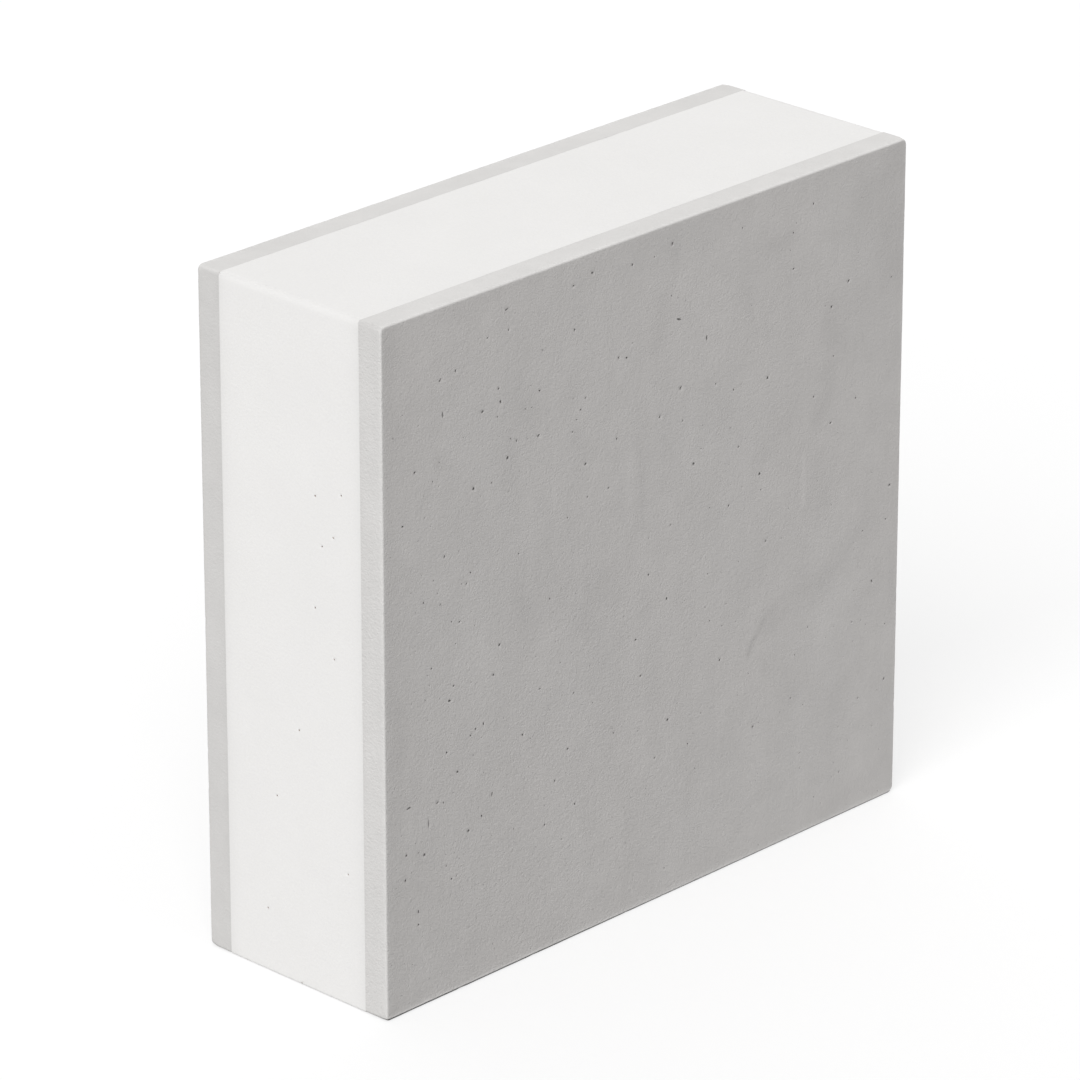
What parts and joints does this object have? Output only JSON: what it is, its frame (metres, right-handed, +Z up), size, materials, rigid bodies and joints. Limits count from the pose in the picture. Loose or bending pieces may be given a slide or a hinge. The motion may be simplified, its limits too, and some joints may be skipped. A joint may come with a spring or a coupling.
{
  "type": "structural insulated panel",
  "caption": "Upright sandwich building panel: a thick rigid foam core bonded flush between thin cement boards with eased edges and a pitted cast face.",
  "frame": {"origin": "middle of the lower edge that the panel stands on", "axes": "+X along the front face to its right as seen from the front, +Y through the panel from the front board to the back board, +Z up"},
  "size_m": [0.3, 0.1, 0.29],
  "materials": {
    "cement": "matte cast cement with fine grain and small pinholes",
    "foam": "matte white, finely cut rigid foam"
  },
  "bodies": {
    "root": {"front_cement_board": "cement", "foam_core": "foam", "back_cement_board": "cement"}
  },
  "joints": []
}
